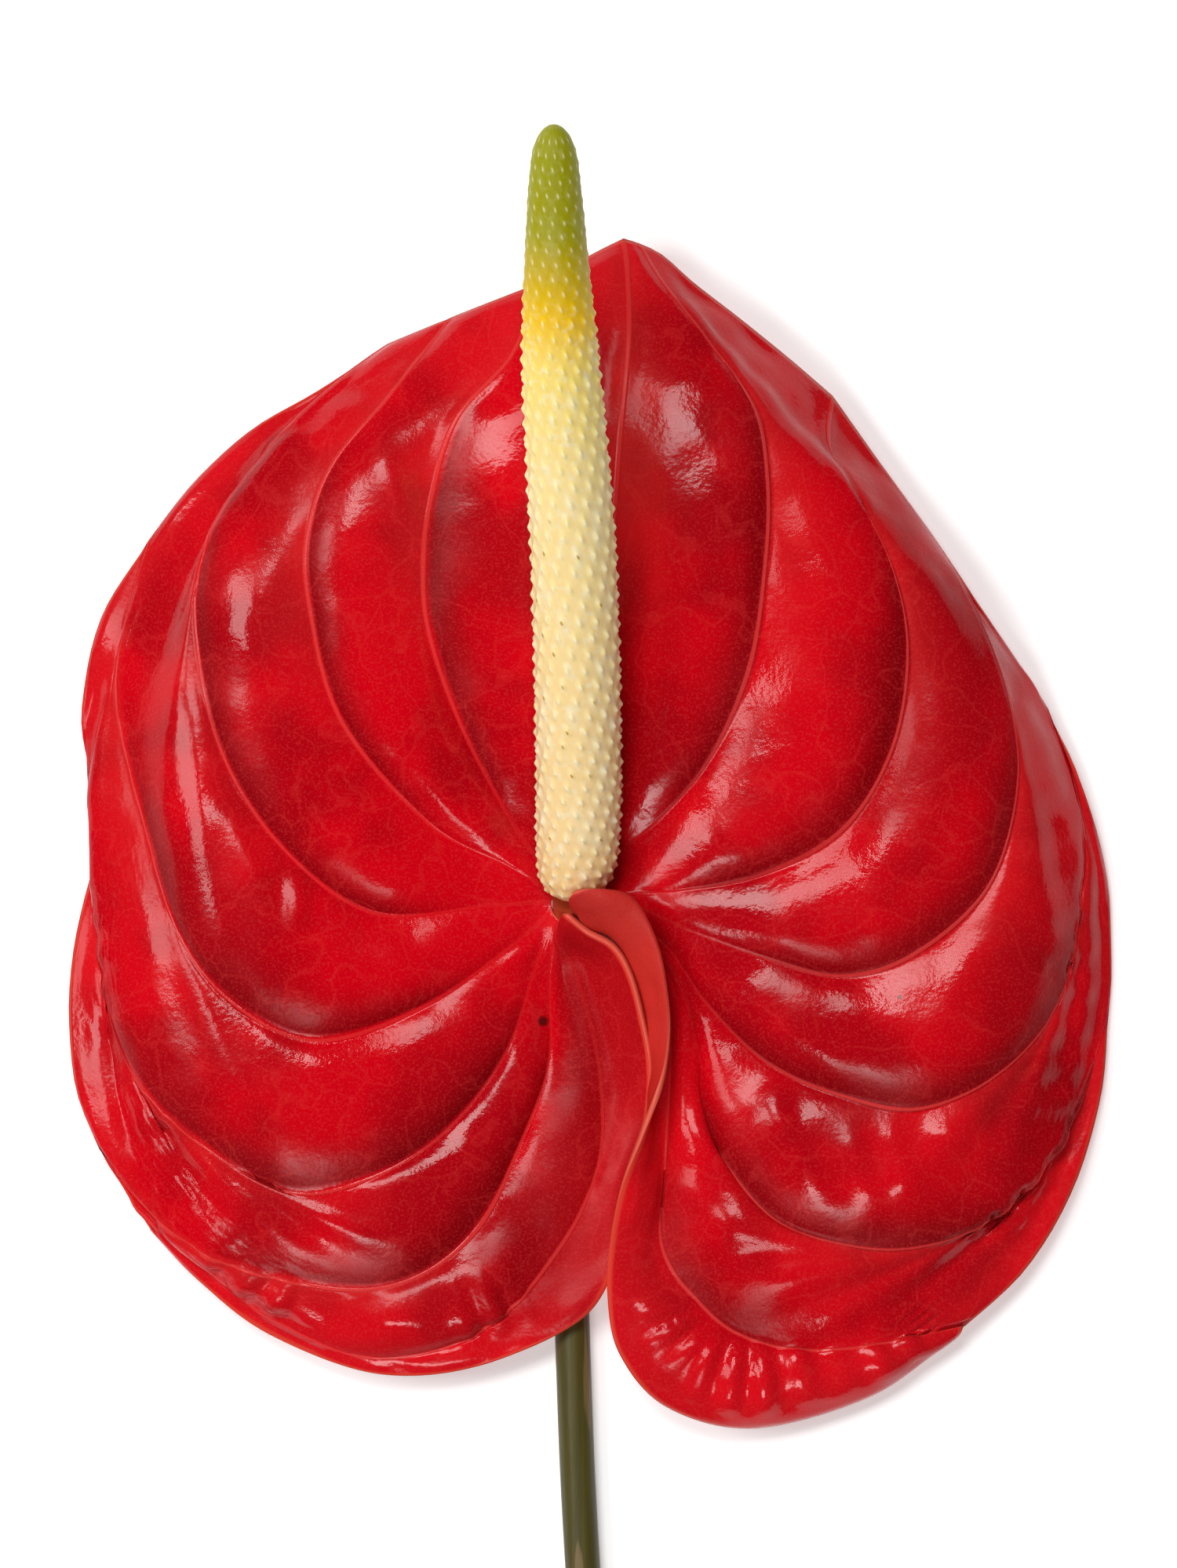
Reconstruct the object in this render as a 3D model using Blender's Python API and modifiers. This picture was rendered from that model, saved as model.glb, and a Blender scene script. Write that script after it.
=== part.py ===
"""A cut anthurium laid on a surface, face up, with its stem along -Y.

Three grown pieces: the stem with its upturned neck, the heart-shaped spathe, whose two lobes
roll past each other at the sinus, and the spadix with its lattice of florets.
Lengths below are in millimetres, +Z is up and the surface is Z = 0. Places are measured from the
junction of stem and spathe, and the whole flower is then moved so that the origin is the middle
of its outline on the surface.
"""

import math

import bmesh
import bpy
import numpy as np

MM = 0.001

# Driving dimensions
BLADE_THICKNESS = 0.7
STEM_DIAMETER = 4.5
STEM_END = (-0.6, -340.0)
SPADIX_LENGTH = 103.3
SPADIX_DIAMETER = 10.5
SPADIX_RISE = math.radians(21.0)
FLORET_HEIGHT = 0.45
FLORETS_ROUND = 15
FLORET_ROWS = 52
FLORET_DRIFT = 0.1
SMALL_FLORET_RADIUS = 4.0
END_CROWDING = 0.025

# The middle of the flower's outline, from the junction
ORIGIN = (0.78, -121.8, 0.0)

# Collar of the spathe, round the stem's neck
COLLAR_CENTRE = (-1.5, -0.1)
COLLAR_RADIUS = 3.2
COLLAR_HEIGHT = 10.0
COLLAR_SLOPE = -0.3

# Panels at least this wide are quilted to their full height. The quilting rises steeply beside
# the inner vein, drops to the outer one, and sinks towards the margin.
FULL_QUILT_WIDTH = 13.0
QUILT_RISE_POWER = 2.2
QUILT_DROP_POWER = 5
QUILT_START = 0.22
QUILT_SINKS = 0.78

# How late a panel takes up the curve of the margin, and how hollow the left seam's rise is
RIM_POWER = 6
SEAM_POWER = 1.6

# Mesh steps of the blade, whose rows stand closer towards the collar
BLADE_ROWS = 31
ROW_CROWDING = 1.3
PANEL_COLUMNS = 6
ROLL_COLUMNS = 10
SEAM_COLUMNS = 4

# Veins from the collar to the margin, as (x, y, z). The first number of each is the angle in
# degrees at which the vein leaves the collar.
VEINS = {
    "left_7": (-125, [
        (-3.3, -5.2, 9.9), (-1.8, -7.5, 7.9), (-0.6, -11, 7.1), (0.6, -15, 6.6), (1.6, -20, 6.2),
        (2.2, -26, 6.0), (2.0, -32, 5.9), (0.2, -38, 5.9), (-3.5, -44.5, 5.9), (-10, -52.3, 6.0),
        (-18.3, -57, 5.8), (-29, -57.9, 5.2), (-40.8, -52.6, 4.2), (-49.5, -46.2, 3.4),
        (-57.6, -38.9, 2.5)]),
    "left_6": (-137, [
        (-4.6, -10, 7.5), (-4.6, -20, 6.3), (-7.5, -29, 6.2), (-13.2, -41, 7.0), (-21, -47.6, 8.0),
        (-30, -49.4, 8.5), (-43.5, -46.8, 7.5), (-51.5, -42.8, 5.6), (-57, -37.8, 4.0),
        (-61.8, -31.6, 2.5)]),
    "left_5": (-150, [
        (-6.6, -9, 8.5), (-10.5, -20, 8.0), (-18.3, -29.8, 9.0), (-28, -35.5, 10.5),
        (-38.5, -36.8, 10.5), (-50.9, -29.3, 8.5), (-58.5, -20, 5.5), (-61.7, -6, 2.9),
        (-60.4, 5, 2.6), (-61.2, 12.6, 1.6)]),
    "left_4": (-163, [
        (-9, -5.2, 9.8), (-20.6, -13.3, 10.5), (-34, -17.6, 12), (-44.5, -13, 12),
        (-51.6, -4, 10.5), (-56, 10, 7.5), (-59.7, 25, 4.5), (-58.5, 36, 4.0), (-55.6, 46, 3.6)]),
    "left_3": (178, [
        (-12, -0.3, 10.8), (-27, -1.3, 12), (-38.8, 7.4, 12.5), (-46.5, 20, 12), (-49.5, 35, 11),
        (-48.5, 44, 10.5), (-45, 51.4, 10), (-35, 63, 8.5), (-25, 71, 5.5)]),
    "left_2": (155, [
        (-10, 5, 11), (-19.8, 10.1, 12), (-30.9, 23.2, 13.5), (-34.9, 38, 14.5), (-35, 47, 14.8),
        (-32, 55.5, 14), (-24.5, 64.5, 12), (-17, 74.3, 6.5)]),
    "left_1": (130, [
        (-8.5, 9, 11), (-15.5, 22, 12), (-19.8, 34.3, 13.5), (-20.5, 43.5, 14.5),
        (-19.5, 51.4, 15), (-16.3, 61.3, 14.5), (-9.2, 69.4, 12.5), (-5.5, 78.8, 8)]),
    "midrib": (92, [
        (-1.0, 8, 8.8), (1.2, 25, 11.2), (3.2, 42, 13.6), (4.5, 58.7, 15), (5.6, 71.4, 13.2),
        (5.5, 79, 9.8), (5.0, 84.5, 5.6)]),
    "right_1": (54, [
        (3, 5.5, 9.5), (9.3, 10.4, 11.6), (16, 18.5, 13), (21, 30, 14), (23, 43.6, 15),
        (23.2, 54, 15), (21.5, 63, 13.8), (15.5, 71.5, 11.5), (9.7, 79, 8.6), (6.8, 83.9, 5.9)]),
    "right_2": (24, [
        (5.2, 1.2, 11), (12.3, 1.5, 12.5), (23, 3.8, 13), (33, 9.5, 13), (39.2, 19.9, 13),
        (41, 32, 13.5), (39, 42.5, 13), (34.7, 51.1, 12.5), (31, 58, 9.5), (31.5, 64.5, 4.5)]),
    "right_3": (6, [
        (5.6, 0.0, 11.0), (13.2, -3.3, 12.5), (24, -7.3, 12.5), (33, -9.3, 12.5),
        (42, -6.5, 12.5), (51.4, 2.1, 11.5), (55, 15, 10.5), (53.5, 27, 9.5), (49.2, 38.1, 7.5),
        (44, 47, 4.0)]),
    "right_4": (-6, [
        (5.3, -1.9, 10.6), (11, -5.8, 10.2), (15.8, -13, 10.0), (23.6, -20.6, 10.5),
        (33.5, -24.8, 11.5), (43, -26.2, 11.5), (53.1, -21.5, 10), (60.5, -12, 6.5),
        (63.6, 4, 3.6), (62.5, 15, 2.4), (59.1, 24.5, 2.2)]),
    "right_5": (-18, [
        (4.8, -3.4, 10.3), (9.8, -6.6, 9.5), (13.0, -12, 8.8), (14.4, -19, 8.3),
        (15.0, -26, 8.3), (17.8, -33, 9.3), (24.5, -40.7, 10), (34, -43.8, 10),
        (43, -43.8, 9), (51.7, -40.3, 7.5), (59.5, -32.5, 5), (63.8, -24, 2.4),
        (66.9, -14, 0.9)]),
    "right_6": (-30, [
        (2.8, -4.1, 10.1), (5.4, -5.3, 9.7), (7.8, -6.7, 9.1), (9.6, -9, 8.4), (10.8, -12.5, 7.8),
        (11.2, -17, 7.4), (11.1, -22, 7.1), (10.6, -29, 7.0), (10.0, -36, 7.0), (9.5, -42, 7.0),
        (10.6, -46, 7.2), (13.2, -49.6, 7.5), (18.5, -54.5, 7.6), (26, -57, 7.4),
        (35.2, -56.8, 6.6), (48.5, -54.2, 3.8)]),
}

# Free margin of the left lobe, one place for each place of the vein left_7
LEFT_SEAM_ANGLE = -92
LEFT_SEAM = [
    (-2.3, -1.4, 15.3), (0.4, -3.6, 15.1), (3.7, -5.5, 14.5), (5.8, -8.9, 13.8), (7.3, -14.2, 12.6),
    (8.0, -21, 11.0), (7.3, -28.5, 8.3), (5.8, -36.5, 7.2), (4.4, -45, 6.7), (-0.2, -53, 6.3),
    (-12.5, -58.9, 5.6), (-26, -60.2, 4.6), (-40, -55.3, 3.4), (-48.9, -48.6, 2.7),
    (-55.2, -42.0, 2.1)]

# Rolled seam of the right lobe, one place for each place of the vein right_6: two places that the
# roll leans towards, low and high, and its free margin
ROLL_LOW_ANGLE = -37
ROLL_LOW = [
    (1.0, -4.9, 10.7), (2.4, -5.4, 10.3), (2.6, -7.6, 8.8), (2.6, -11.6, 7.4), (3.4, -14, 6.9),
    (4.4, -17.5, 6.5), (6.2, -22.5, 6.5), (7.4, -29, 6.9), (8.4, -36, 7.8), (7.6, -42.5, 8.4),
    (8.0, -47.5, 8.8), (10.0, -53, 9.4), (16, -58.5, 9.6), (25, -60.5, 9.4), (36, -59.6, 8.2),
    (48, -55, 4.4)]
ROLL_HIGH_ANGLE = -63
ROLL_HIGH = [
    (-1.0, -1.4, 17.0), (2.2, -1.3, 20.2), (5.2, -4.6, 18.4), (7.2, -8.0, 16.4),
    (8.6, -12.6, 14.4), (9.3, -17.2, 13.0), (9.5, -22.4, 12.4), (8.4, -29.3, 11.0),
    (6.6, -36, 10.2), (5.4, -43, 9.9), (5.6, -49.5, 9.8), (7.0, -57, 9.4), (12.5, -63.5, 8.8),
    (23, -65.5, 8.2), (36.5, -62.5, 6.4), (47, -56, 3.4)]
ROLL_EDGE_ANGLE = -70
ROLL_EDGE = [
    (-1.7, 0.9, 19.5), (1.6, 1.8, 20.2), (6.2, 0.6, 18.8), (9.3, -5.2, 16.8), (10.6, -12, 14.8),
    (10.8, -17, 13.8), (9.9, -22.5, 13.2), (7.2, -29.5, 12.2), (4.7, -36, 10.8), (3.3, -43, 9.8),
    (3.0, -50, 9.0), (4.6, -57.5, 7.6), (10.5, -64.2, 6.0), (21.5, -67, 4.4), (36, -63.2, 3.2),
    (46, -56.6, 2.2)]

# Panels between neighbouring veins: inner vein, outer vein, height of the quilting, number and
# height of the cross puckers, and the margin's places between the two veins' ends
PANELS = [
    ("left_6", "left_7", 2.4, 7, 0.35, []),
    ("left_5", "left_6", 2.4, 6.5, 0.40, [
        (-62.6, 5.8, 0.7), (-64.3, -0.5, 0.4), (-65.5, -7, 0.4), (-65.9, -15, 0.7), (-64.9, -24, 1.6)]),
    ("left_4", "left_5", 2.6, 5, 0.25, [
        (-61.3, 37, 2.4), (-64.1, 26.5, 1.0), (-63.8, 20.0, 0.9)]),
    ("left_3", "left_4", 2.8, 5, 0.20, [(-33.5, 65.5, 5.0), (-41.8, 60.6, 4.7), (-49.2, 54.0, 4.3)]),
    ("left_2", "left_3", 2.6, 4, 0.15, []),
    ("left_1", "left_2", 2.6, 4, 0.10, []),
    ("midrib", "left_1", 1.8, 3, 0.10, [(0.2, 82.0, 6.4)]),
    ("midrib", "right_1", 2.4, 4, 0.12, []),
    ("right_1", "right_2", 3.0, 4, 0.12, [
        (9.8, 82.4, 5.2), (13.8, 78.9, 4.9), (20, 74.1, 4.6), (25.8, 69.4, 4.2)]),
    ("right_2", "right_3", 2.8, 4, 0.15, [(38.0, 55.3, 4.0)]),
    ("right_3", "right_4", 2.8, 5, 0.20, [(52.0, 35.2, 3.0)]),
    ("right_4", "right_5", 2.8, 6, 0.35, [(63.4, 15.5, 1.6), (66.6, 3, 0.6), (67.3, -8, 0.4)]),
    ("right_5", "right_6", 2.4, 7, 0.40, [(66, -25, 1.2), (62.5, -36.5, 2.0), (56.5, -46.8, 2.8)]),
]

# Stem, from its cut end to the neck's top
STEM_PATH = [
    (2.6, -320), (5.0, -280), (6.0, -230), (5.2, -180), (2.9, -130), (-0.3, -84), (-1.4, -60),
    (-1.8, -42), (-1.6, -24)]
NECK_PATH = [
    (-1.3, -13.5, 2.3), (-1.2, -8.0, 2.7), (-1.4, -4.2, 4.3), (-1.5, -2.0, 7.2),
    (-1.5, -0.5, 10.0), (-1.5, 0.6, 11.5)]
NECK_SWELL = 0.16
NECK_SHARE = 0.96
STEM_SIDES = 12
STEM_POINTS = 44
STEM_CROWDING = 0.8

# Spadix: its base, its lean to +X along its length, and its profile as (share of length, share
# of the radius between the florets)
SPADIX_BASE = (-1.4, 0.3, 13.1)
SPADIX_BOW = [
    (0.0, 0.0), (0.06, 0.5), (0.15, 0.7), (0.3, 0.5), (0.45, 0.05), (0.57, -0.7), (0.69, -1.55),
    (0.8, -2.0), (0.9, -2.25), (1.0, -2.4)]
SPADIX_PROFILE = [
    (0.0, 0.0), (0.006, 0.42), (0.018, 0.72), (0.035, 0.88), (0.06, 0.96), (0.12, 1.0),
    (0.3, 1.0), (0.5, 0.985), (0.65, 0.925), (0.75, 0.84), (0.81, 0.775), (0.86, 0.71),
    (0.9, 0.655), (0.94, 0.585), (0.965, 0.51), (0.985, 0.4), (0.996, 0.22), (1.0, 0.0)]

COLOURS = {
    "stem": ((0.055, 0.042, 0.010), 0.45),
    "spathe": ((0.52, 0.004, 0.012), 0.25),
    "spadix": ((0.82, 0.63, 0.31), 0.6),
}


def remove_scene_objects():
    for obj in list(bpy.data.objects):
        bpy.data.objects.remove(obj, do_unlink=True)


def smooth(x):
    x = np.clip(x, 0.0, 1.0)
    return x * x * (3 - 2 * x)


def spline(points, at):
    """Places on a smooth curve through the points, where point i is at parameter i."""
    points = np.asarray(points, float)
    padded = np.vstack([2 * points[0] - points[1], points, 2 * points[-1] - points[-2]])
    at = np.asarray(at, float)
    cell = np.clip(at.astype(int), 0, len(points) - 2)
    f = (at - cell)[:, None]
    a, b, c, d = (padded[cell + k] for k in range(4))
    return 0.5 * (2 * b + (c - a) * f + (2 * a - 5 * b + 4 * c - d) * f**2
                  + (3 * b - a - 3 * c + d) * f**3)


def even_parameters(points, shares):
    """Parameters of the spline at the given shares of its length."""
    fine = np.linspace(0, len(points) - 1, 40 * len(points))
    steps = np.linalg.norm(np.diff(spline(points, fine), axis=0), axis=1)
    along = np.concatenate([[0], np.cumsum(steps)])
    return np.interp(shares, along / along[-1], fine)


def collar_point(angle):
    turn = math.radians(angle)
    x = COLLAR_CENTRE[0] + COLLAR_RADIUS * math.cos(turn)
    y = COLLAR_CENTRE[1] + COLLAR_RADIUS * math.sin(turn)
    return (x, y, COLLAR_HEIGHT + COLLAR_SLOPE * (y - COLLAR_CENTRE[1]))


def from_collar(angle, places):
    return [collar_point(angle)] + list(places)


def vein_points(name, shares):
    points = from_collar(*VEINS[name])
    return spline(points, even_parameters(points, shares))


def quilting(v, t):
    """Height of a panel over its veins: it rises from the inner one and drops to the outer."""
    across = (1 - (1 - v) ** QUILT_RISE_POWER) * (1 - v**QUILT_DROP_POWER)
    along = smooth(t / QUILT_START) * (1 - QUILT_SINKS * smooth((t - 0.5) / 0.4))
    return across * along


def panel(inner, outer, height, puckers, pucker_height, margin, shares, columns):
    """Rows of places from the inner vein to the outer one, which is included."""
    first = vein_points(inner, shares)
    last = vein_points(outer, shares)
    rim_places = [first[-1], *margin, last[-1]]
    v = np.linspace(0, 1, columns + 1)
    rim = spline(rim_places, even_parameters(rim_places, v))
    straight_rim = first[-1] + (last[-1] - first[-1]) * v[:, None]
    width = np.linalg.norm(last - first, axis=1)
    height = height * np.minimum(1, width / FULL_QUILT_WIDTH)
    t = shares[:, None, None]
    grid = first[:, None] + (last - first)[:, None] * v[None, :, None]
    grid = grid + (rim - straight_rim)[None] * t**RIM_POWER
    wave = np.sin(2 * math.pi * puckers * shares)[:, None] * (np.sin(math.pi * v) ** 2)[None]
    wave = wave * (smooth((shares - 0.35) / 0.2) * (1 - smooth((shares - 0.9) / 0.1)))[:, None]
    grid[:, :, 2] += height[:, None] * quilting(v[None], shares[:, None]) + pucker_height * wave
    return grid


def left_seam(shares, columns):
    """From the outermost left vein up to the left lobe's free margin."""
    vein = from_collar(*VEINS["left_7"])
    at = even_parameters(vein, shares)
    low = spline(vein, at)
    high = spline(from_collar(LEFT_SEAM_ANGLE, LEFT_SEAM), at)
    v = np.linspace(0, 1, columns + 1)[None, :, None]
    grid = low[:, None] + (high - low)[:, None] * v
    rise = (high - low)[:, 2][:, None] * (v[:, :, 0] ** SEAM_POWER - v[:, :, 0])
    grid[:, :, 2] += rise * smooth(shares / 0.08)[:, None]
    return grid


def right_roll(shares, columns):
    """From the outermost right vein round the roll to the right lobe's free margin."""
    vein = from_collar(*VEINS["right_6"])
    at = even_parameters(vein, shares)
    a = spline(vein, at)[:, None]
    b = spline(from_collar(ROLL_LOW_ANGLE, ROLL_LOW), at)[:, None]
    c = spline(from_collar(ROLL_HIGH_ANGLE, ROLL_HIGH), at)[:, None]
    d = spline(from_collar(ROLL_EDGE_ANGLE, ROLL_EDGE), at)[:, None]
    v = np.linspace(0, 1, columns + 1)[None, :, None]
    return a * (1 - v) ** 3 + 3 * b * v * (1 - v) ** 2 + 3 * c * v**2 * (1 - v) + d * v**3


def spathe_grid(rows, panel_columns, roll_columns, seam_columns):
    """The blade's middle surface: one row for each step out from the collar, and columns from
    the left lobe's free margin round to the right lobe's."""
    shares = np.linspace(0, 1, rows) ** ROW_CROWDING
    strips = [left_seam(shares, seam_columns)[:, ::-1]]
    for inner, outer, height, puckers, pucker_height, margin in PANELS:
        strip = panel(inner, outer, height, puckers, pucker_height, margin, shares, panel_columns)
        if inner.startswith("left") or outer.startswith("left"):
            strip = strip[:, ::-1]
        strips.append(strip[:, 1:])
    strips.append(right_roll(shares, roll_columns)[:, 1:])
    return np.concatenate(strips, axis=1)


def make_spathe():
    grid = spathe_grid(BLADE_ROWS, PANEL_COLUMNS, ROLL_COLUMNS, SEAM_COLUMNS)
    rows, columns = grid.shape[:2]
    bpy.ops.mesh.primitive_grid_add(x_subdivisions=columns - 1, y_subdivisions=rows - 1, size=1)
    blade = bpy.context.object
    blade.name = "spathe"
    places = (grid - np.array(ORIGIN)) * MM
    blade.data.vertices.foreach_set("co", places.reshape(-1))
    blade.data.update()
    blade.modifiers.new("Triangles", "TRIANGULATE")
    wall = blade.modifiers.new("Thickness", "SOLIDIFY")
    wall.thickness = BLADE_THICKNESS * MM
    wall.offset = 0.0
    wall.use_even_offset = False
    return blade


def stem_places():
    """Places along the stem's axis and its thickness there, swollen a little in the neck."""
    radius = STEM_DIAMETER / 2
    resting = [(x, y, radius) for x, y in STEM_PATH]
    places = [(*STEM_END, radius)] + resting + NECK_PATH
    shares = np.linspace(0, 1, STEM_POINTS) ** STEM_CROWDING
    swell = 1 + NECK_SWELL * smooth((shares - NECK_SHARE) / (1 - NECK_SHARE))
    return spline(places, even_parameters(places, shares)), swell


def make_stem():
    places, swell = stem_places()
    places = (places - np.array(ORIGIN)) * MM
    curve = bpy.data.curves.new("stem", "CURVE")
    curve.dimensions = "3D"
    curve.twist_mode = "Z_UP"
    curve.bevel_depth = STEM_DIAMETER / 2 * MM
    curve.bevel_resolution = STEM_SIDES // 4 - 1
    curve.use_fill_caps = True
    line = curve.splines.new("POLY")
    line.points.add(len(places) - 1)
    for point, place, thickness in zip(line.points, places, swell):
        point.co = (*place, 1.0)
        point.radius = thickness
    stem = bpy.data.objects.new("stem", curve)
    bpy.context.scene.collection.objects.link(stem)
    return stem


def ring_place(ring_share):
    """Share of the spadix's length for a ring. Rings stand closer at both ends."""
    return ring_share - END_CROWDING * math.sin(2 * math.pi * ring_share)


def spadix_frame(share):
    """Place on the spadix's axis, with its side and upper directions, for a share of length."""
    along = np.array([0.0, math.cos(SPADIX_RISE), math.sin(SPADIX_RISE)])
    side = np.array([1.0, 0.0, 0.0])
    upper = np.cross(side, along)
    bow = np.interp(share, *zip(*SPADIX_BOW))
    middle = np.array(SPADIX_BASE) + along * SPADIX_LENGTH * share + side * bow
    return middle, side, upper


def spadix_radius(share):
    return SPADIX_DIAMETER / 2 * np.interp(share, *zip(*SPADIX_PROFILE))


def make_spadix():
    """A ball of rings drawn out along the axis. Every second corner stands out, as a floret."""
    around = 2 * FLORETS_ROUND
    rings = FLORET_ROWS + 1
    bpy.ops.mesh.primitive_uv_sphere_add(segments=around, ring_count=rings, radius=1)
    spadix = bpy.context.object
    spadix.name = "spadix"
    body = bmesh.new()
    body.from_mesh(spadix.data)
    raised = {}
    for corner in body.verts:
        x, y, z = corner.co
        ring = round(math.acos(max(-1.0, min(1.0, z))) / math.pi * rings)
        step = math.floor(math.atan2(y, x) / (2 * math.pi) * around) % around
        share = ring_place(ring / rings)
        stands_out = (ring + step) % 2 == 0 and 0 < ring < rings
        raised[corner.index] = stands_out
        turn = 2 * math.pi * step / around + FLORET_DRIFT * ring
        middle, side, upper = spadix_frame(share)
        radius = spadix_radius(share)
        if stands_out:
            radius += FLORET_HEIGHT * min(1.0, radius / SMALL_FLORET_RADIUS)
        place = middle + (side * math.cos(turn) + upper * math.sin(turn)) * radius
        corner.co = (place - np.array(ORIGIN)) * MM
    for face in list(body.faces):
        low = [corner for corner in face.verts if not raised[corner.index]]
        if len(face.verts) == 4 and len(low) == 2:
            bmesh.utils.face_split(face, low[0], low[1])
    bmesh.ops.triangulate(body, faces=body.faces)
    bmesh.ops.recalc_face_normals(body, faces=body.faces)
    body.to_mesh(spadix.data)
    body.free()
    return spadix


def give_material(obj):
    colour, roughness = COLOURS[obj.name]
    material = bpy.data.materials.new(obj.name)
    material.use_nodes = True
    shader = material.node_tree.nodes["Principled BSDF"]
    shader.inputs["Base Color"].default_value = (*colour, 1.0)
    shader.inputs["Roughness"].default_value = roughness
    shader.inputs["Metallic"].default_value = 0.0
    material.diffuse_color = (*colour, 1.0)
    obj.data.materials.append(material)


def main():
    remove_scene_objects()
    parts = bpy.data.collections.new("cut_anthurium_stem")
    bpy.context.scene.collection.children.link(parts)
    for obj in (make_stem(), make_spathe(), make_spadix()):
        give_material(obj)
        for home in list(obj.users_collection):
            home.objects.unlink(obj)
        parts.objects.link(obj)


main()
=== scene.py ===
"""The finish of a cut anthurium that lies face up: glossy spathe, floret-covered spadix and stem.

Lengths in the shape tables are millimetres from the junction of stem and spathe, as in the part
itself. ORIGIN carries them to the part's frame, which is in metres.
"""

import math

import bpy
import numpy as np
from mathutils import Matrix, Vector, kdtree, noise


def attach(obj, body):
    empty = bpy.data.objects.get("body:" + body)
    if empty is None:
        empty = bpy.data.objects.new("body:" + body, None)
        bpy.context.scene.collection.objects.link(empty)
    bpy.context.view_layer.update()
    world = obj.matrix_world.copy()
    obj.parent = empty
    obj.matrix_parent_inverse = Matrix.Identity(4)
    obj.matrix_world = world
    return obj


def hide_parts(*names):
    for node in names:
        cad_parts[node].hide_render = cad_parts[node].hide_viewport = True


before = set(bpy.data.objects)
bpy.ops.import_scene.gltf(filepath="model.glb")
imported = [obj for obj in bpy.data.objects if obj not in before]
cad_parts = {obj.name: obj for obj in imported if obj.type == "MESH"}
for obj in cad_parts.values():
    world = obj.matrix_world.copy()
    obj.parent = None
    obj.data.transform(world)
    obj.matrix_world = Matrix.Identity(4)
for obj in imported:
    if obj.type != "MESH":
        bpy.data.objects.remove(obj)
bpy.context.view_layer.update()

MM = 0.001

# The part's own driving dimensions
BLADE_THICKNESS = 0.7
STEM_DIAMETER = 4.5
STEM_END = (-0.6, -340.0)
SPADIX_LENGTH = 103.3
SPADIX_DIAMETER = 10.5
SPADIX_RISE = math.radians(21.0)
FLORET_HEIGHT = 0.45
FLORETS_ROUND = 15
FLORET_ROWS = 52
FLORET_DRIFT = 0.1
SMALL_FLORET_RADIUS = 4.0
END_CROWDING = 0.025
ORIGIN = (0.78, -121.8, 0.0)

# Collar of the spathe, round the stem's neck
COLLAR_CENTRE = (-1.5, -0.1)
COLLAR_RADIUS = 2.75
COLLAR_HEIGHT = 10.0
COLLAR_SLOPE = -0.3

# Panels at least this wide are quilted to their full height. The quilting rises steeply beside
# the inner vein, drops to the outer one, and sinks by this share towards the margin.
FULL_QUILT_WIDTH = 13.0
QUILT_RISE_POWER = 2.2
QUILT_DROP_POWER = 4.2
QUILT_SUNK_SHARE = 0.78

# How late a panel takes up the curve of the margin, and how hollow the left seam's rise is
RIM_POWER = 6
SEAM_POWER = 1.6

# Stretches of the way from the collar to the margin, as shares of it, over which something comes
# in or fades out. The waves are a panel's cross waves, and the funnel is the hollow beside the
# left seam, which is darkened with painted shade.
QUILT_STARTS = (0.0, 0.22)
QUILT_SINKS = (0.5, 0.9)
WAVES_START = (0.35, 0.55)
WAVES_END = (0.9, 1.0)
SEAM_STARTS = (0.0, 0.08)
FUNNEL_ENDS = (0.4, 0.65)
FLANK_ENDS = (0.6, 0.95)
BLOOM_AND_SHEEN_STARTS = (0.3, 0.7)

# How steeply the strength of a flank's painted shade, of a bloom with its painted sheen, and of
# the funnel's painted shade change across a panel
SHADE_POWER = 3
FUNNEL_POWER = 0.5

# Rows of the blade stand closer towards the collar
ROW_CROWDING = 1.3

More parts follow.
